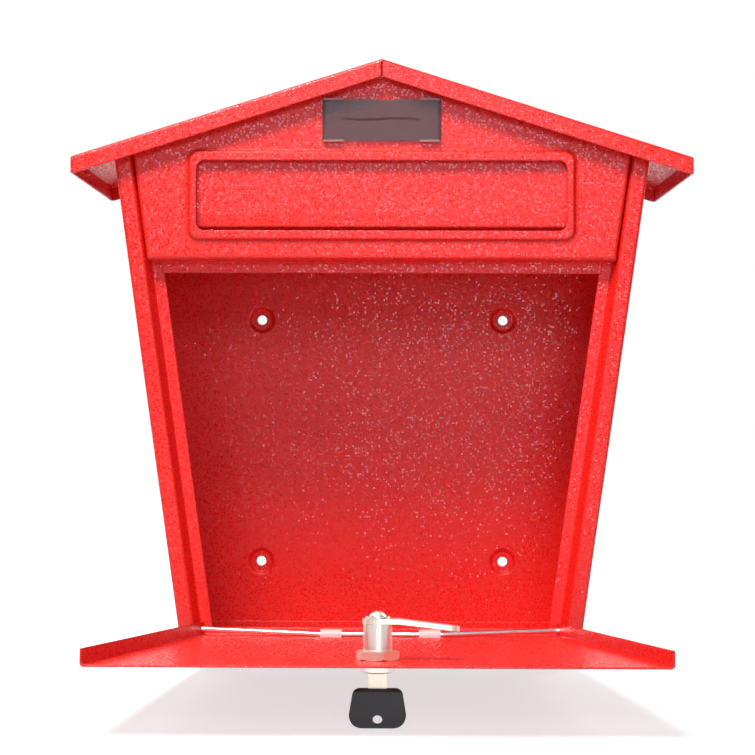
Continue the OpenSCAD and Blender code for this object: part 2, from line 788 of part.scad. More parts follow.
// Domed cross-slot screw that holds the cam on the plug
module cam_screw() {
    seat = washer_w0 + washer_t + lay_gap;
    dome_r = 4.2;
    dome_h = 2.6;
    cross = [4.4, 0.8, 1.3];
    shank = seat - (barrel_l + tang_l - 5) - 0.5;
    ball = (dome_r * dome_r + dome_h * dome_h) / (2 * dome_h);
    edge = acos(dome_r / ball);
    color(zinc) on_lock() difference() {
        union() {
            translate([0, 0, seat - shank]) cylinder(r = screw_r, h = shank + 0.5);
            translate([0, 0, seat]) rotate_extrude() polygon(concat(
                [[0, 0]], arc([0, dome_h - ball], ball, edge, 90, 8)));
        }
        for (a = [0, 90]) rotate([0, 0, a])
            translate([-cross[0] / 2, -cross[1] / 2, seat + dome_h - cross[2]]) cube(cross + [0, 0, 1]);
    }
}

// Key blade of flat steel: cut edges in the plug, a wider neck, and a tongue in the head
module key_blade() {
    cuts = [0.5, 1.0, 0.3, 0.8, 0.5, 0.9];
    half = blade_w / 2;
    tongue_l = key_head_l * 0.6;
    tip = blade_l - head_d;
    color(steel) on_lock() difference() {
        rotate([90, 0, 0]) linear_extrude(blade_t, center = true) {
            polygon([
                [-half, -head_d], [half, -head_d], [half, tip - 2], [half - 2, tip],
                [2 - half, tip], [-half, tip - 2]]);
            translate([-neck_w / 2, -head_d - lay_gap - neck_l - tongue_l])
                square([neck_w, neck_l + tongue_l]);
            translate([-half, -head_d - 1]) square([blade_w, 2]);
        }
        for (i = [0 : wafer_n - 1]) translate([half - cuts[i], -blade_t, wafer_at(i) - lay_gap])
            cube([blade_w, 2 * blade_t, wafer_t + 4 * lay_gap]);
    }
}

// Moulded plastic key head over the blade's tongue, with a hole for a key ring
module key_head() {
    top = -head_d - lay_gap - neck_l;
    tongue_l = key_head_l * 0.6;
    half_w = key_head_w / 2;
    shoulder = half_w - 1.4;
    top_r = 4;
    foot_r = 6.5;
    edge = 1.5;
    half_t = key_head_t / 2;
    color("#3a3c3c") on_lock() difference() {
        intersection() {
            translate([0, 0, top]) rotate([90, 0, 0]) linear_extrude(key_head_t, center = true)
                polygon(concat(
                    arc([half_w - foot_r, foot_r - key_head_l], foot_r, -90, 0),
                    arc([shoulder - top_r, -top_r], top_r, 0, 90),
                    arc([top_r - shoulder, -top_r], top_r, 90, 180),
                    arc([foot_r - half_w, foot_r - key_head_l], foot_r, 180, 270)));
            rotate([90, 0, 90]) linear_extrude(key_head_w, center = true) polygon([
                [half_t - edge, top], [half_t, top - edge], [half_t, top - key_head_l + edge],
                [half_t - edge, top - key_head_l], [edge - half_t, top - key_head_l],
                [-half_t, top - key_head_l + edge], [-half_t, top - edge], [edge - half_t, top]]);
            translate([0, 0, top - key_head_l]) linear_extrude(key_head_l) polygon([
                [half_w, half_t - edge], [half_w - edge, half_t], [edge - half_w, half_t],
                [-half_w, half_t - edge], [-half_w, edge - half_t], [edge - half_w, -half_t],
                [half_w - edge, -half_t], [half_w, edge - half_t]]);
        }
        translate([-neck_w / 2 - pin_fit, -blade_t / 2 - pin_fit, top - tongue_l - pin_fit])
            cube([neck_w + 2 * pin_fit, blade_t + 2 * pin_fit, far]);
        translate([0, 0, top - key_head_l + 4]) rotate([90, 0, 0])
            cylinder(r = 2.4, h = far, center = true);
    }
}

case_shell();
floor_panel();
roof();
front_panel();
slot_flap();
flap_pin();
name_plate_holder();
name_plate_window();
door();
hinge_wire();
wire_clip_left();
wire_clip_right();
lock_housing();
lock_nut();
lock_plug();
lock_wafers();
lock_cam();
cam_washer();
cam_screw();
key_blade();
key_head();
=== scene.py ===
import math

import bpy
import numpy as np
from mathutils import Matrix, Vector


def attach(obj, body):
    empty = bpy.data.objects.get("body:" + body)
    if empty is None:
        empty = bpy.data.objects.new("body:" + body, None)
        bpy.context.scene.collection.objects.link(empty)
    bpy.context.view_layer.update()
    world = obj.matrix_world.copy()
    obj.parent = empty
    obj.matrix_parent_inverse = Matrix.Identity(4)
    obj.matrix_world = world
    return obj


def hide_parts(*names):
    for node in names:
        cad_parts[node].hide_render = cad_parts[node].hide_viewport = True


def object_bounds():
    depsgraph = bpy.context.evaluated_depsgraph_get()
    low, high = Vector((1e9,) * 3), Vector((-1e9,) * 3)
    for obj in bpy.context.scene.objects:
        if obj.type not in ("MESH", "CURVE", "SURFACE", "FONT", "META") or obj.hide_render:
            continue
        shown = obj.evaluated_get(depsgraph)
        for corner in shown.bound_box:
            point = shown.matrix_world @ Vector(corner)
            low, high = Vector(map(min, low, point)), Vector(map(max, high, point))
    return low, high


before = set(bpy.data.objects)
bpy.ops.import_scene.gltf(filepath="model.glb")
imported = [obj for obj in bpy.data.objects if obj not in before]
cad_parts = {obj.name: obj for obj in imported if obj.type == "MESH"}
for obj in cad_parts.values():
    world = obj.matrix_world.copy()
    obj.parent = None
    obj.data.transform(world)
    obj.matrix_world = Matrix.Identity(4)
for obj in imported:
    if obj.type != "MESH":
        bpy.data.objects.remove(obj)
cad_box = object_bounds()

scene = bpy.context.scene
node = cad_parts

# The camera. It stands about a metre in front of the open box, just above the middle of its case,
# and looks straight in, a little to the left and slightly up. Its lens is a short telephoto.
CAMERA_AT = (0.006728, -1.11326, 0.02945)
CAMERA_YAW, CAMERA_PITCH, CAMERA_ROLL = 0.009, 0.012, -0.003
CAMERA_FOCUS_PX = 1641.455
IMAGE_PX = 755

camera_data = bpy.data.cameras.new("camera")
camera_data.sensor_width = 36
camera_data.lens = CAMERA_FOCUS_PX * camera_data.sensor_width / IMAGE_PX
camera_data.clip_start = 0.05
camera = bpy.data.objects.new("camera", camera_data)
scene.collection.objects.link(camera)
camera.matrix_world = (
    Matrix.Translation(CAMERA_AT)
    @ Matrix.Rotation(CAMERA_YAW, 4, "Z")
    @ Matrix.Rotation(CAMERA_PITCH, 4, "X")
    @ Matrix.Rotation(CAMERA_ROLL, 4, "Y")
    @ Matrix.Rotation(math.pi / 2, 4, "X"))
scene.camera = camera
scene.view_settings.view_transform = "Standard"


# The studio's surround: plain white to the eye and through clear plastic. Where it is mirrored it
# is white behind the object and dim on the camera's side, as a room with one bright wall is.
def reckon(tree, kind, first, second=0.0):
    """One sum in a node tree: each value is a number or the output of another node."""
    step = tree.nodes.new("ShaderNodeMath")
    step.operation = kind
    for socket, value in zip(step.inputs, (first, second)):
        if isinstance(value, float):
            socket.default_value = value
        else:
            tree.links.new(value, socket)
    return step.outputs[0]


def graded(tree, value, low, high, start=0.0, end=1.0, kind="LINEAR"):
    """Turns a value between start and end into one between low and high, held at both ends."""
    grade = tree.nodes.new("ShaderNodeMapRange")
    grade.interpolation_type = kind
    for name, number in (("From Min", start), ("From Max", end), ("To Min", low), ("To Max", high)):
        grade.inputs[name].default_value = number
    tree.links.new(value, grade.inputs["Value"])
    return grade.outputs["Result"]


def ray_kind(tree, *kinds):
    """One for rays of any of the named kinds, else zero."""
    rays = tree.nodes.new("ShaderNodeLightPath")
    share = rays.outputs[kinds[0]]
    for kind in kinds[1:]:
        share = reckon(tree, "MAXIMUM", share, rays.outputs[kind])
    return share


SOFT_LIGHT = 0.002
SOFT_COLOUR = (1.0, 0.985, 0.965, 1)
ROOM_SHARE = 0.15
ROOM_END_Y, WHITE_START_Y = -0.25, 0.35

world = bpy.data.worlds.new("white_surround")
scene.world = world
world.use_nodes = True
surround = world.node_tree
surround.nodes.clear()
ray_way = surround.nodes.new("ShaderNodeTexCoord")
way_axes = surround.nodes.new("ShaderNodeSeparateXYZ")
surround.links.new(ray_way.outputs["Generated"], way_axes.inputs[0])
behind = graded(surround, way_axes.outputs["Y"], ROOM_SHARE, 1.0, ROOM_END_Y, WHITE_START_Y, "SMOOTHSTEP")
mirrored = reckon(surround, "MULTIPLY", ray_kind(surround, "Is Glossy Ray"), behind)
seen = reckon(surround, "MAXIMUM", ray_kind(surround, "Is Camera Ray", "Is Transmission Ray"), mirrored)
shown = surround.nodes.new("ShaderNodeBackground")
shown.inputs["Color"].default_value = (1, 1, 1, 1)
shown.inputs["Strength"].default_value = 1.0
lighting = surround.nodes.new("ShaderNodeBackground")
lighting.inputs["Color"].default_value = SOFT_COLOUR
lighting.inputs["Strength"].default_value = SOFT_LIGHT
pick = surround.nodes.new("ShaderNodeMixShader")
world_out = surround.nodes.new("ShaderNodeOutputWorld")
surround.links.new(seen, pick.inputs["Fac"])
surround.links.new(lighting.outputs[0], pick.inputs[1])
surround.links.new(shown.outputs[0], pick.inputs[2])
surround.links.new(pick.outputs[0], world_out.inputs["Surface"])

# The studio's floor: a sheet of matt paper under the box that keeps its shadow. To the eye it is
# lifted to white, less in the middle, where the shadow lies, and fully further out.
FLOOR_HALF = 1.6
FLOOR_COLOUR = (0.40, 0.40, 0.40, 1)
LIFT_MIDDLE, LIFT_OUTSIDE = 0.68, 1.0
SHADOW_MIDDLE_Y = -0.34
LIFT_START, LIFT_END = 0.16, 0.42

base_z = cad_box[0][2]
floor_mesh = bpy.data.meshes.new("studio_floor")
floor_mesh.from_pydata(
    [(-FLOOR_HALF, -FLOOR_HALF, base_z), (FLOOR_HALF, -FLOOR_HALF, base_z),
     (FLOOR_HALF, FLOOR_HALF, base_z), (-FLOOR_HALF, FLOOR_HALF, base_z)], [], [(0, 1, 2, 3)])
floor = bpy.data.objects.new("studio_floor", floor_mesh)
scene.collection.objects.link(floor)
floor_paper = bpy.data.materials.new("floor_paper")
floor_paper.use_nodes = True
floor_tree = floor_paper.node_tree
paper = floor_tree.nodes["Principled BSDF"]
paper.inputs["Base Color"].default_value = FLOOR_COLOUR
paper.inputs["Roughness"].default_value = 0.9
paper.inputs["Emission Color"].default_value = (1, 1, 1, 1)
floor_place = floor_tree.nodes.new("ShaderNodeTexCoord")
from_middle = floor_tree.nodes.new("ShaderNodeVectorMath")
from_middle.operation = "DISTANCE"
from_middle.inputs[1].default_value = (0, SHADOW_MIDDLE_Y, base_z)
floor_tree.links.new(floor_place.outputs["Object"], from_middle.inputs[0])
fading = graded(floor_tree, from_middle.outputs["Value"], LIFT_MIDDLE, LIFT_OUTSIDE,
                LIFT_START, LIFT_END, "SMOOTHSTEP")
to_the_eye = ray_kind(floor_tree, "Is Camera Ray", "Is Glossy Ray", "Is Transmission Ray")
floor_tree.links.new(reckon(floor_tree, "MULTIPLY", to_the_eye, fading), paper.inputs["Emission Strength"])
floor_mesh.materials.append(floor_paper)


# The studio's lamps: a key from above on the left, a cool window in front of the panel, a small
# cool light beside the camera that glints in the coat, and two behind for the sides and the back.
def lamp(name, at, aim, width, height, watts, colour=(1, 1, 1)):
    """A soft lamp, a lit rectangle at one point that faces another."""
    data = bpy.data.lights.new(name, "AREA")
    data.shape = "RECTANGLE"
    data.size, data.size_y = width, height
    data.energy = watts
    data.color = colour
    obj = bpy.data.objects.new(name, data)
    scene.collection.objects.link(obj)
    turn = (Vector(aim) - Vector(at)).to_track_quat("-Z", "Y")
    obj.matrix_world = Matrix.Translation(at) @ turn.to_matrix().to_4x4()


lamp("key_lamp", at=(-0.34, -0.92, 1.32), aim=(0, -0.12, 0), width=0.5, height=0.5,
     watts=35, colour=(1.0, 0.96, 0.92))
lamp("window_lamp", at=(0, -1.35, 0.48), aim=(0, -0.12, 0.15), width=0.9, height=0.32,
     watts=3.9, colour=(0.84, 0.84, 1.0))
lamp("glint_lamp", at=(0.13, -1.2, 0.07), aim=(0, -0.12, 0), width=0.2, height=0.2,
     watts=0.72, colour=(0.93, 0.84, 1.0))
for side, side_x in (("left", -1.15), ("right", 1.15)):
    lamp("back_lamp_" + side, at=(side_x, 0.95, 0.75), aim=(0, 0, 0.02), width=0.8, height=0.8, watts=11)


# The case, floor, roof and door: folded steel sheet under a thick red powder coat, baked to a gloss.
# Small grains stand out of the coat about a millimetre and a half apart. Each leans its own way, so
# only some of them glint, and the coat draws a soft round over every edge.
COAT_RED = (0.78, 0.012, 0.007, 1)
COAT_IOR = 1.55
GRAIN_PITCH = 0.0016
GRAIN_EDGE, GRAIN_TOP = 0.5, 0.34
GRAIN_TILT = 0.19
BETWEEN_GRAINS_ROUGH, ON_GRAIN_ROUGH = 0.5, 0.12
PEEL_PITCH = 0.0035
PEEL_DEPTH = 0.00012
COAT_EDGE_R = 0.0013
COAT_EDGE_SAMPLES = 4


def coat_grain_group():
    """Round grains in random cells. Normal is the given surface normal plus a random lean, which is
    full within GRAIN_TOP of a cell's middle and gone at GRAIN_EDGE, both in parts of the pitch.
    Height is smooth noise for the peel, and Grain is one on a grain and zero between grains."""
    group = bpy.data.node_groups.new("coat_grain", "ShaderNodeTree")
    for name in ("Pitch", "Tilt", "Peel Pitch"):
        group.interface.new_socket(name, in_out="INPUT", socket_type="NodeSocketFloat")
    group.interface.new_socket("Surface", in_out="INPUT", socket_type="NodeSocketVector")
    group.interface.new_socket("Normal", in_out="OUTPUT", socket_type="NodeSocketVector")
    group.interface.new_socket("Height", in_out="OUTPUT", socket_type="NodeSocketFloat")
    group.interface.new_socket("Grain", in_out="OUTPUT", socket_type="NodeSocketFloat")
    links = group.links
    given = group.nodes.new("NodeGroupInput")
    out = group.nodes.new("NodeGroupOutput")
    place = group.nodes.new("ShaderNodeTexCoord")

    cells = group.nodes.new("ShaderNodeTexVoronoi")
    links.new(place.outputs["Object"], cells.inputs["Vector"])
    links.new(reckon(group, "DIVIDE", 1.0, given.outputs["Pitch"]), cells.inputs["Scale"])
    on_grain = graded(group, cells.outputs["Distance"], 0.0, 1.0, GRAIN_EDGE, GRAIN_TOP, "SMOOTHSTEP")
    links.new(on_grain, out.inputs["Grain"])

    centred = group.nodes.new("ShaderNodeVectorMath")
    centred.operation = "SUBTRACT"
    centred.inputs[1].default_value = (0.5, 0.5, 0.5)
    links.new(cells.outputs["Color"], centred.inputs[0])
    lean = group.nodes.new("ShaderNodeVectorMath")
    lean.operation = "SCALE"
    links.new(centred.outputs[0], lean.inputs[0])
    links.new(reckon(group, "MULTIPLY", on_grain, given.outputs["Tilt"]), lean.inputs["Scale"])
    leaning = group.nodes.new("ShaderNodeVectorMath")
    leaning.operation = "ADD"
    links.new(given.outputs["Surface"], leaning.inputs[0])
    links.new(lean.outputs[0], leaning.inputs[1])
    unit = group.nodes.new("ShaderNodeVectorMath")
    unit.operation = "NORMALIZE"
    links.new(leaning.outputs[0], unit.inputs[0])
    links.new(unit.outputs[0], out.inputs["Normal"])

    peel = group.nodes.new("ShaderNodeTexNoise")
    peel.inputs["Detail"].default_value = 1.0
    links.new(place.outputs["Object"], peel.inputs["Vector"])
    links.new(reckon(group, "DIVIDE", 1.0, given.outputs["Peel Pitch"]), peel.inputs["Scale"])
    links.new(peel.outputs["Fac"], out.inputs["Height"])
    return group


coat_grain = coat_grain_group()


def red_coat(name):
    """The textured red coat: a faint peel with a soft gloss, and leaning grains with a sharp one."""
    material = bpy.data.materials.new(name)
    material.use_nodes = True
    tree = material.node_tree
    skin = tree.nodes["Principled BSDF"]
    skin.inputs["Base Color"].default_value = COAT_RED
    skin.inputs["IOR"].default_value = COAT_IOR
    grain = tree.nodes.new("ShaderNodeGroup")
    grain.node_tree = coat_grain
    grain.inputs["Pitch"].default_value = GRAIN_PITCH
    grain.inputs["Tilt"].default_value = GRAIN_TILT
    grain.inputs["Peel Pitch"].default_value = PEEL_PITCH
    thick_edge = tree.nodes.new("ShaderNodeBevel")
    thick_edge.samples = COAT_EDGE_SAMPLES
    thick_edge.inputs["Radius"].default_value = COAT_EDGE_R
    tree.links.new(thick_edge.outputs["Normal"], grain.inputs["Surface"])
    peel = tree.nodes.new("ShaderNodeBump")
    peel.inputs["Strength"].default_value = 1.0
    peel.inputs["Distance"].default_value = PEEL_DEPTH
    tree.links.new(grain.outputs["Height"], peel.inputs["Height"])
    tree.links.new(grain.outputs["Normal"], peel.inputs["Normal"])
    tree.links.new(peel.outputs["Normal"], skin.inputs["Normal"])
    gloss = graded(tree, grain.outputs["Grain"], BETWEEN_GRAINS_ROUGH, ON_GRAIN_ROUGH)
    tree.links.new(gloss, skin.inputs["Roughness"])
    return material


def finish_node(name, material):
    """Gives a CAD node its material."""
    obj = node[name]
    obj.data.materials.clear()
    obj.data.materials.append(material)


coat = red_coat("textured_red_coat")
for name in ("case_shell", "floor_panel", "roof", "door"):
    finish_node(name, coat)

# The front panel: the same coated sheet. The surround of its slot is drawn in a press, so its outer
# edge rises softly out of the sheet, and a bump carries that slope out past the modelled one.
SLOT_MID_Z = 0.1501
SURROUND_HALF_W, SURROUND_HALF_H, SURROUND_R = 0.1159, 0.0270, 0.0068
DRAWN_HALF_W, DRAWN_HEIGHT = 0.0024, 0.0007


def drawn_coat():
    """The red coat with a bump across the surround's outline. The distance to that rounded
    rectangle is |(max(|x| - a, 0), max(|z| - b, 0))| + min(max(|x| - a, |z| - b), 0) - r."""
    material = red_coat("drawn_red_coat")
    tree = material.node_tree
    place = tree.nodes.new("ShaderNodeTexCoord")
    axes = tree.nodes.new("ShaderNodeSeparateXYZ")
    tree.links.new(place.outputs["Object"], axes.inputs[0])
    off_middle = reckon(tree, "ABSOLUTE", reckon(tree, "SUBTRACT", axes.outputs["Z"], SLOT_MID_Z))
    past_x = reckon(tree, "SUBTRACT", reckon(tree, "ABSOLUTE", axes.outputs["X"]),
                    SURROUND_HALF_W - SURROUND_R)
    past_z = reckon(tree, "SUBTRACT", off_middle, SURROUND_HALF_H - SURROUND_R)
    out_x, out_z = reckon(tree, "MAXIMUM", past_x, 0.0), reckon(tree, "MAXIMUM", past_z, 0.0)
    squares = reckon(tree, "ADD", reckon(tree, "MULTIPLY", out_x, out_x),
                     reckon(tree, "MULTIPLY", out_z, out_z))
    inside = reckon(tree, "MINIMUM", reckon(tree, "MAXIMUM", past_x, past_z), 0.0)
    reach = reckon(tree, "ADD", reckon(tree, "SQRT", squares), inside)
    rise = graded(tree, reach, 0.0, 1.0, SURROUND_R + DRAWN_HALF_W, SURROUND_R - DRAWN_HALF_W,
                  "SMOOTHSTEP")
    drawn = tree.nodes.new("ShaderNodeBump")
    drawn.inputs["Strength"].default_value = 1.0
    drawn.inputs["Distance"].default_value = DRAWN_HEIGHT
    skin = tree.nodes["Principled BSDF"]
    tree.links.new(rise, drawn.inputs["Height"])
    tree.links.new(skin.inputs["Normal"].links[0].from_socket, drawn.inputs["Normal"])
    tree.links.new(drawn.outputs["Normal"], skin.inputs["Normal"])
    return material


finish_node("front_panel", drawn_coat())

# The flap behind the slot: one strip of coated sheet, hung by two rolled knuckles on its pin, with
# its foot turned in a little for the fingers. It stops just short of the slot's lower edge.
FLAP_HALF_W = 0.114
FLAP_T = 0.001
FLAP_MID_Y, FLAP_TOP_Z = -0.1282, 0.1774
FINGER_BEND_Z, FINGER_IN = 0.1393, 0.0004
FOOT_Z, FOOT_RETURN = 0.1309, 0.0035
BEND_R = 0.0022
BEND_STEPS = 7
END_EDGE = 0.0003
PIN_Y, PIN_Z = -0.12859, 0.18111
KNUCKLE_R, KNUCKLE_L = 0.0021, 0.022
KNUCKLE_SIDES = 24


def lofted(rings):
    """Points and faces of a closed skin over rings of equal count: each ring joins the next one
    point by point in quads, and each end ring gets one end face."""
    count, around = rings.shape[:2]
    first = np.arange(count - 1)[:, None] * around
    here = first + np.arange(around)[None, :]
    beside = first + np.roll(np.arange(around), -1)[None, :]
    quads = np.stack([here, beside, beside + around, here + around], -1)
    faces = quads.reshape(-1, 4).tolist()
    faces.append(list(range(around))[::-1])
    faces.append(list(range((count - 1) * around, count * around)))
    return rings.reshape(-1, 3), faces


def piece_of(name, points, faces, material, body, replaced):
    """One piece at the origin from arrays of points and faces, on its body, in place of its node."""
    mesh = bpy.data.meshes.new(name)
    mesh.from_pydata(points.tolist(), [], faces)
    mesh.polygons.foreach_set("use_smooth", np.zeros(len(mesh.polygons), bool))
    mesh.materials.append(material)
    mesh.update()
    obj = bpy.data.objects.new(name, mesh)
    scene.collection.objects.link(obj)
    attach(obj, body)
    if replaced:
        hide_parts(replaced)
    return obj


def bent_strip(corners, radius, thickness, steps):
    """Outline of a bent sheet in y and z. Each inner corner of the middle line is cut back by
    radius times tan(turn / 2) and bridged by a parabola that starts and ends along its two sides.
    The two faces of the sheet lie half a thickness to either side of that line."""
    corners = np.asarray(corners)
    middle = [corners[0]]
    for before, corner, after in zip(corners[:-2], corners[1:-1], corners[2:]):
        back = (before - corner) / np.linalg.norm(before - corner)
        onward = (after - corner) / np.linalg.norm(after - corner)
        turn = math.pi - math.acos(np.clip(back @ onward, -1, 1))
        cut = radius * math.tan(turn / 2)
        share = np.linspace(0, 1, steps)[:, None]
        start, end = corner + back * cut, corner + onward * cut
        middle.extend((1 - share) ** 2 * start + 2 * share * (1 - share) * corner + share ** 2 * end)
    middle.append(corners[-1])
    middle = np.array(middle)
    along = np.gradient(middle, axis=0)
    along /= np.linalg.norm(along, axis=1)[:, None]
    side = np.stack([-along[:, 1], along[:, 0]], -1) * thickness / 2
    return np.concatenate([middle + side, (middle - side)[::-1]])


def strip_across(outline, half_width, edge):
    """The outline carried along x from side to side. Over the last edge of the way, at both ends,
    its two faces draw together by a quarter of that edge each, as on a coated cut."""
    inward = outline[::-1] - outline
    inward /= np.maximum(np.linalg.norm(inward, axis=1), 1e-9)[:, None]
    xs = np.array([-half_width, -half_width + edge, half_width - edge, half_width])
    drawn = np.array([1.0, 0.0, 0.0, 1.0]) * edge / 4
    rings = np.empty((4, len(outline), 3))
    rings[:, :, 0] = xs[:, None]
    rings[:, :, 1:] = outline[None] + drawn[:, None, None] * inward[None]
    return rings


foot_y = FLAP_MID_Y + FINGER_IN
flap_outline = bent_strip(
    [(FLAP_MID_Y, FLAP_TOP_Z), (FLAP_MID_Y, FINGER_BEND_Z), (foot_y, FOOT_Z),
     (foot_y + FOOT_RETURN, FOOT_Z)], BEND_R, FLAP_T, BEND_STEPS)
flap_points, flap_faces = lofted(strip_across(flap_outline[::-1], FLAP_HALF_W, END_EDGE))
piece_of("slot_flap_sheet", flap_points, flap_faces, coat, "flap", "slot_flap")
ring_angle = np.linspace(0, 2 * math.pi, KNUCKLE_SIDES, endpoint=False)
for side_name, side in (("left", -1), ("right", 1)):
    reach_x = side * (FLAP_HALF_W - KNUCKLE_L / 2) + np.array([-0.5, 0.5]) * KNUCKLE_L
    knuckle = np.empty((2, KNUCKLE_SIDES, 3))
    knuckle[:, :, 0] = reach_x[:, None]
    knuckle[:, :, 1] = PIN_Y + KNUCKLE_R * np.cos(ring_angle)
    knuckle[:, :, 2] = PIN_Z + KNUCKLE_R * np.sin(ring_angle)
    knuckle_points, knuckle_faces = lofted(knuckle)
    piece_of("flap_knuckle_" + side_name, knuckle_points, knuckle_faces, coat, "flap", None)

# The hinge wire, the flap's pin and the lock: steel wire and turned or pressed metal, with white
# zinc on wire, pin and washer, warmer yellow zinc on cam, nut, screw and key blade, and worn chrome
# on the lock's housing and plug. The wafers are bare brass.
BLOTCH_SCALE, BLOTCH_DETAIL = 420, 3
BLOTCH_SHINIER, BLOTCH_DULLER = 0.75, 1.35


def bare_metal(name, colour, roughness):
    """Metal with fine blotches of shinier and duller plating, as shares of its roughness."""
    material = bpy.data.materials.new(name)
    material.use_nodes = True
    tree = material.node_tree
    skin = tree.nodes["Principled BSDF"]
    skin.inputs["Base Color"].default_value = colour
    skin.inputs["Metallic"].default_value = 1.0
    place = tree.nodes.new("ShaderNodeTexCoord")
    blotch = tree.nodes.new("ShaderNodeTexNoise")
    blotch.inputs["Scale"].default_value = BLOTCH_SCALE
    blotch.inputs["Detail"].default_value = BLOTCH_DETAIL
    tree.links.new(place.outputs["Object"], blotch.inputs["Vector"])
    spread = graded(tree, blotch.outputs["Fac"], roughness * BLOTCH_SHINIER, roughness * BLOTCH_DULLER)
    tree.links.new(spread, skin.inputs["Roughness"])
    return material


white_zinc = bare_metal("white_zinc", (0.86, 0.83, 0.80, 1), 0.3)
yellow_zinc = bare_metal("yellow_zinc", (0.93, 0.87, 0.70, 1), 0.36)
chrome = bare_metal("lock_chrome", (0.93, 0.90, 0.84, 1), 0.3)
brass = bare_metal("wafer_brass", (0.83, 0.62, 0.28, 1), 0.3)
for name in ("hinge_wire", "flap_pin", "cam_washer"):
    finish_node(name, white_zinc)
for name in ("cam_screw", "lock_cam", "lock_nut", "key_blade"):
    finish_node(name, yellow_zinc)
for name in ("lock_housing", "lock_plug"):
    finish_node(name, chrome)
finish_node("lock_wafers", brass)

# The wire clips: small mouldings of milky nylon that snap over the hinge wire and hold it to the
# door. Their plastic is thin, so what lies behind them shows through a little.
PLASTIC_IOR = 1.49
STREAK_SCALE, STREAK_DETAIL = (12, 200, 420), 2
STREAK_SPREAD = 0.07


def clear_plastic(name, colour, roughness, cover):
    """Thin clear plastic that hides what is behind it by its cover, with faint streaks along x."""
    material = bpy.data.materials.new(name)
    material.use_nodes = True
    tree = material.node_tree
    skin = tree.nodes["Principled BSDF"]
    skin.inputs["Base Color"].default_value = colour
    skin.inputs["Roughness"].default_value = roughness
    skin.inputs["IOR"].default_value = PLASTIC_IOR
    place = tree.nodes.new("ShaderNodeTexCoord")
    lengthways = tree.nodes.new("ShaderNodeMapping")
    lengthways.inputs["Scale"].default_value = STREAK_SCALE
    streaks = tree.nodes.new("ShaderNodeTexNoise")
    streaks.inputs["Scale"].default_value = 1
    streaks.inputs["Detail"].default_value = STREAK_DETAIL
    tree.links.new(place.outputs["Object"], lengthways.inputs["Vector"])
    tree.links.new(lengthways.outputs["Vector"], streaks.inputs["Vector"])
    spread = graded(tree, streaks.outputs["Fac"], cover - STREAK_SPREAD, cover + STREAK_SPREAD)
    tree.links.new(spread, skin.inputs["Alpha"])
    return material


clip_nylon = clear_plastic("clip_nylon", (0.90, 0.74, 0.72, 1), 0.35, 0.62)
for name in ("wire_clip_left", "wire_clip_right"):
    finish_node(name, clip_nylon)

# The name plate's holder: a thin clear acrylic back on the front panel, with a short lip moulded at
# each corner that the window slides behind. The lips are thicker, and their lighter pinkish colour
# and stronger cover are a painted highlight for the light they catch.
PLATE_W, PLATE_H, PLATE_MID_Z = 0.0714, 0.026, 0.1951
PLATE_REAR_Y, PLATE_BACK_T = -0.13205, 0.0007
WINDOW_T, WINDOW_GAP = 0.0012, 0.00012
LIP_L, LIP_H, LIP_T = 0.012, 0.0012, 0.0007
LIP_INSET = 0.0009


def blocks(boxes):
    """Boxes as one array of points and one list of faces, eight corners and six faces each, from
    the lowest to the highest corner of every box."""
    lows, highs = np.array([box[0] for box in boxes]), np.array([box[1] for box in boxes])
    corner = np.array([(i & 1, i >> 1 & 1, i >> 2 & 1) for i in range(8)])
    sides = np.array([(0, 2, 3, 1), (4, 5, 7, 6), (0, 1, 5, 4), (2, 6, 7, 3), (0, 4, 6, 2), (1, 3, 7, 5)])
    points = lows[:, None] + corner[None] * (highs - lows)[:, None]
    faces = sides[None] + 8 * np.arange(len(boxes))[:, None, None]
    return points.reshape(-1, 3), faces.reshape(-1, 4).tolist()


plate_low, plate_high = PLATE_MID_Z - PLATE_H / 2, PLATE_MID_Z + PLATE_H / 2
plate_face_y = PLATE_REAR_Y - PLATE_BACK_T
window_face_y = plate_face_y - WINDOW_GAP - WINDOW_T
lip_face_y = window_face_y - WINDOW_GAP - LIP_T
lip_far_x, lip_near_x = PLATE_W / 2 - LIP_INSET, PLATE_W / 2 - LIP_INSET - LIP_L
lip_boxes = []
for x_low, x_high in ((-lip_far_x, -lip_near_x), (lip_near_x, lip_far_x)):
    for z_low, z_high in ((plate_low, plate_low + LIP_H), (plate_high - LIP_H, plate_high)):
        lip_boxes.append(((x_low, lip_face_y, z_low), (x_high, plate_face_y, z_high)))
back_box = ((-PLATE_W / 2, plate_face_y, plate_low), (PLATE_W / 2, PLATE_REAR_Y, plate_high))
holder_points, holder_faces = blocks([back_box] + lip_boxes)
holder_acrylic = clear_plastic("holder_acrylic", (0.3, 0.2, 0.18, 1), 0.15, 0.12)
# The lips' pinkish colour is a painted highlight.
lip_acrylic_painted_highlight = clear_plastic("lip_acrylic_painted_highlight", (0.42, 0.21, 0.165, 1), 0.3, 0.72)
holder = piece_of("plate_holder", holder_points, holder_faces, holder_acrylic, "case",
                  "name_plate_holder")
holder.data.materials.append(lip_acrylic_painted_highlight)
holder.data.polygons.foreach_set("material_index", np.repeat([0, 1], [6, 6 * len(lip_boxes)]))
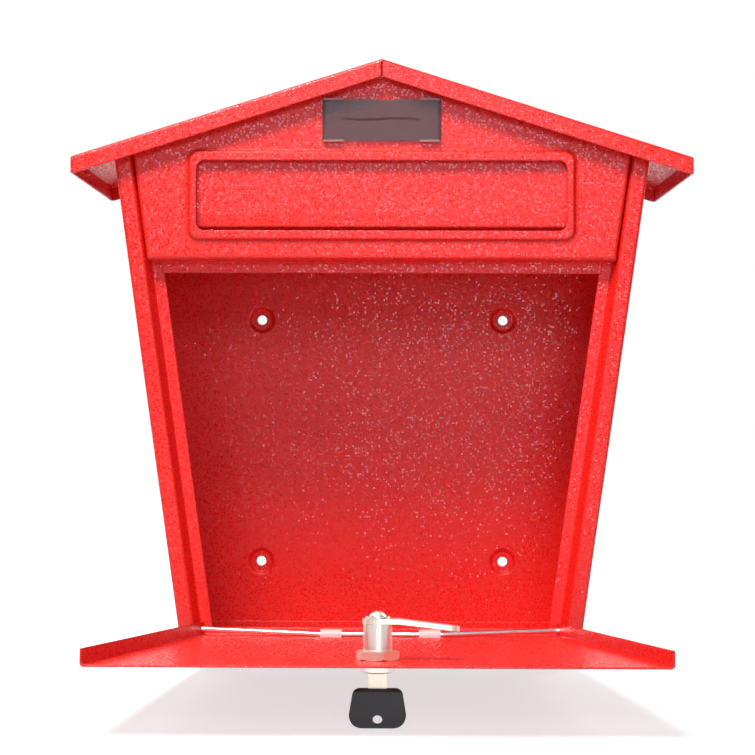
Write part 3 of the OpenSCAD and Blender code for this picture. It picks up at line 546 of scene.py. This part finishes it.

# The name plate's window: a slightly smoky acrylic sheet, cut to length and slid in behind the lips.
# It bows outward in the middle and its ends are rolled off. One long dark wavy line across it is a
# painted reflection, duller and darker than the sheet.
UNDER_LIP = 0.0005
BOW_D = 0.000175
END_ROLL, END_ROLL_SHARE, THINNEST_SHARE = 0.0022, 0.8, 0.1
RIPPLE_D, RIPPLE_ACROSS, RIPPLE_SLANT, RIPPLE_UP = 0.00004, 9, 2, 3.1
CREASE_D, CREASE_W, CREASE_AT = 0.00001, 0.035, 0.06
CREASE_SWING, CREASE_WAVES, CREASE_PHASE = 0.035, 4.2, 0.6
CREASE_FULL, CREASE_FADE = 1.15, 1.5
WINDOW_SMOKE = (0.07, 0.048, 0.044, 1)
WINDOW_ROUGH, WINDOW_COVER, WINDOW_SPECULAR = 0.06, 0.46, 0.36
# The dark wavy line across the window: a painted reflection.
REFLECTION_LINE_DARK = (0.012, 0.004, 0.004, 1)
REFLECTION_LINE_Z, REFLECTION_LINE_HALF_L, REFLECTION_LINE_HALF_H = 0.1958, 0.024, 0.0009
REFLECTION_LINE_WAVE_D, REFLECTION_LINE_TURN_PER_M = 0.0004, 170.0
REFLECTION_LINE_ROUGHER = 0.8

window_w = PLATE_W - 2 * WINDOW_GAP
window_h = PLATE_H - 2 * (LIP_H - UNDER_LIP)
# The steps of the sheet's grid, from -1 to 1 each way, are finer in its rolled ends and its middle.
across = np.concatenate([np.linspace(-1, -0.955, 8), np.linspace(-0.95, 0.95, 60), np.linspace(0.955, 1, 8)])
up = np.concatenate([np.linspace(-1, -0.1, 14), np.linspace(-0.06, 0.2, 30), np.linspace(0.24, 1, 12)])


def window_sheet(ways, ups):
    """How far the sheet's face stands back, by the way across and the way up, each from -1 to 1. It is
    the bow times the way across squared, plus a share of the thickness times the square of how far
    a point is into the end's roll, plus a ripple, a sine times a cosine, plus a slight crease: a
    bell curve in the way up about a sine line, that fades with the way across squared."""
    to_end = (1 - np.abs(ways)) * window_w / 2
    rolled = WINDOW_T * END_ROLL_SHARE * np.clip(1 - to_end / END_ROLL, 0, 1) ** 2
    ripple = RIPPLE_D * np.sin(RIPPLE_ACROSS * ways + RIPPLE_SLANT * ups) * np.cos(RIPPLE_UP * ups)
    off_crease = ups - CREASE_AT - CREASE_SWING * np.sin(CREASE_WAVES * ways + CREASE_PHASE)
    crease = CREASE_D * np.exp(-(off_crease / CREASE_W) ** 2)
    fading_out = np.clip(CREASE_FULL - CREASE_FADE * ways ** 2, 0, 1)
    return BOW_D * ways ** 2 + rolled + ripple + crease * fading_out


def painted_reflection_over(material):
    """Adds one long dark line, a painted reflection, duller and darker than the sheet. It is one less
    the height off a sine line over the line's half height, and no more than one less the fourth power
    of the way out to its ends."""
    tree = material.node_tree
    skin = tree.nodes["Principled BSDF"]
    place = tree.nodes.new("ShaderNodeTexCoord")
    axes = tree.nodes.new("ShaderNodeSeparateXYZ")
    tree.links.new(place.outputs["Object"], axes.inputs[0])
    swing = reckon(tree, "SINE", reckon(tree, "MULTIPLY", axes.outputs["X"], REFLECTION_LINE_TURN_PER_M))
    line_z = reckon(tree, "ADD", reckon(tree, "MULTIPLY", swing, REFLECTION_LINE_WAVE_D), REFLECTION_LINE_Z)
    off_line = reckon(tree, "ABSOLUTE", reckon(tree, "SUBTRACT", axes.outputs["Z"], line_z))
    near = reckon(tree, "SUBTRACT", 1.0, reckon(tree, "DIVIDE", off_line, REFLECTION_LINE_HALF_H))
    toward_end = reckon(tree, "POWER", reckon(tree, "DIVIDE", axes.outputs["X"], REFLECTION_LINE_HALF_L), 4.0)
    ends = reckon(tree, "MAXIMUM", reckon(tree, "SUBTRACT", 1.0, toward_end), 0.0)
    on_painted_line = reckon(tree, "MINIMUM", reckon(tree, "MAXIMUM", near, 0.0), ends)
    rougher = reckon(tree, "ADD", reckon(tree, "MULTIPLY", on_painted_line, REFLECTION_LINE_ROUGHER), WINDOW_ROUGH)
    tree.links.new(rougher, skin.inputs["Roughness"])
    darker = tree.nodes.new("ShaderNodeMix")
    darker.data_type = "RGBA"
    darker.inputs["A"].default_value = WINDOW_SMOKE
    darker.inputs["B"].default_value = REFLECTION_LINE_DARK
    tree.links.new(on_painted_line, darker.inputs["Factor"])
    tree.links.new(darker.outputs["Result"], skin.inputs["Base Color"])


smoky_acrylic = clear_plastic("smoky_acrylic", WINDOW_SMOKE, WINDOW_ROUGH, WINDOW_COVER)
smoky_skin = smoky_acrylic.node_tree.nodes["Principled BSDF"]
smoky_skin.inputs["Specular IOR Level"].default_value = WINDOW_SPECULAR
# The painted dark reflection line over the window.
painted_reflection_over(smoky_acrylic)
ways, ups = np.meshgrid(across, up, indexing="ij")
front_y = window_face_y + np.minimum(window_sheet(ways, ups), WINDOW_T * (1 - THINNEST_SHARE))
front = np.stack([ways * window_w / 2, front_y, PLATE_MID_Z + ups * window_h / 2], -1)
rear = front.copy()
rear[:, :, 1] = plate_face_y - WINDOW_GAP
window_points, window_faces = lofted(np.concatenate([rear, front[:, ::-1]], axis=1))
piece_of("plate_window", window_points, window_faces, smoky_acrylic, "case", "name_plate_window")

# The key's head: black plastic with a fine matt grain, moulded over the end of the blade, with a
# hole through it for a ring.
HEAD_BLACK = (0.022, 0.022, 0.024, 1)
HEAD_ROUGH = 0.42
HEAD_GRAIN_SCALE, HEAD_GRAIN_DEPTH, HEAD_GRAIN_STRENGTH = 3500, 0.0001, 0.25


def black_moulding():
    """Dark plastic whose fine grain breaks up its sheen."""
    material = bpy.data.materials.new("black_moulding")
    material.use_nodes = True
    tree = material.node_tree
    skin = tree.nodes["Principled BSDF"]
    skin.inputs["Base Color"].default_value = HEAD_BLACK
    skin.inputs["Roughness"].default_value = HEAD_ROUGH
    place = tree.nodes.new("ShaderNodeTexCoord")
    grain = tree.nodes.new("ShaderNodeTexNoise")
    grain.inputs["Scale"].default_value = HEAD_GRAIN_SCALE
    bump = tree.nodes.new("ShaderNodeBump")
    bump.inputs["Strength"].default_value = HEAD_GRAIN_STRENGTH
    bump.inputs["Distance"].default_value = HEAD_GRAIN_DEPTH
    tree.links.new(place.outputs["Object"], grain.inputs["Vector"])
    tree.links.new(grain.outputs["Fac"], bump.inputs["Height"])
    tree.links.new(bump.outputs["Normal"], skin.inputs["Normal"])
    return material


finish_node("key_head", black_moulding())
